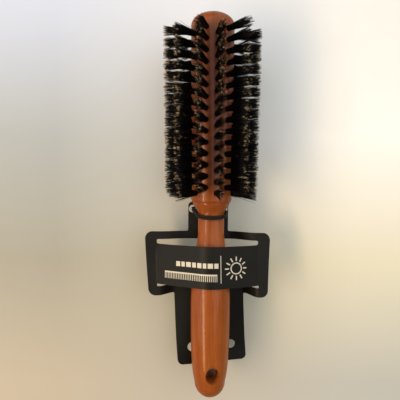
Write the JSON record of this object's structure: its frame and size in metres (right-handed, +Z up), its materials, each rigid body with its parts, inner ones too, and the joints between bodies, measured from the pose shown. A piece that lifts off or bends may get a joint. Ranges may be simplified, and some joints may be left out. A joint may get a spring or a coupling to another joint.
{
  "type": "round barrel brush",
  "caption": "Round hair brush with a turned wooden barrel and handle, radial boar bristle tufts and a bowed hang card held on by an elastic loop.",
  "frame": {"origin": "on the table, under the middle of the whole part's box as it lies on its bristles; the turning axis is 2.3 mm to the right of it, because the card hangs to the left", "axes": "+Y along the turning axis towards the barrel's domed end, +Z up, +X to the right seen from above with the barrel away from the viewer"},
  "size_m": [0.0798, 0.2372, 0.0599],
  "materials": {
    "stained_wood": "reddish stain under clear gloss lacquer, fine lengthwise grain",
    "boar_bristle": "near-black boar hair with paler tan tips",
    "anchor_wire": "drawn wire",
    "card_sheet": "satin black sheet with plain pale printed marks",
    "elastic_cord": "braided dark cord",
    "sleeve_metal": "crimped plain metal"
  },
  "bodies": {
    "brush": {"turned_body": "stained_wood", "bristle_row_01": "boar_bristle", "bristle_row_02": "boar_bristle", "bristle_row_03": "boar_bristle", "bristle_row_04": "boar_bristle", "bristle_row_05": "boar_bristle", "bristle_row_06": "boar_bristle", "bristle_row_07": "boar_bristle", "bristle_row_08": "boar_bristle", "bristle_row_09": "boar_bristle", "bristle_row_10": "boar_bristle", "bristle_row_11": "boar_bristle", "bristle_row_12": "boar_bristle", "tuft_anchor_01": "anchor_wire", "tuft_anchor_02": "anchor_wire", "tuft_anchor_03": "anchor_wire", "tuft_anchor_04": "anchor_wire", "tuft_anchor_05": "anchor_wire", "tuft_anchor_06": "anchor_wire", "tuft_anchor_07": "anchor_wire", "tuft_anchor_08": "anchor_wire", "tuft_anchor_09": "anchor_wire", "tuft_anchor_10": "anchor_wire", "tuft_anchor_11": "anchor_wire", "tuft_anchor_12": "anchor_wire"},
    "elastic": {"elastic_loop": "elastic_cord"},
    "card": {"display_card": "card_sheet", "elastic_sleeve": "sleeve_metal"}
  },
  "joints": [
    {"name": "card_turn", "type": "hinge", "parent": "brush", "child": "elastic", "pos_m": [0.0023, -0.00445, 0.02994], "axis": [0, 1, 0], "continuous": true},
    {"name": "card_slide", "type": "slide", "parent": "elastic", "child": "card", "axis": [0, -1, 0], "range_m": [0, 0.025], "stiffness_N_per_m": 60, "deforming": ["elastic_loop"]}
  ]
}
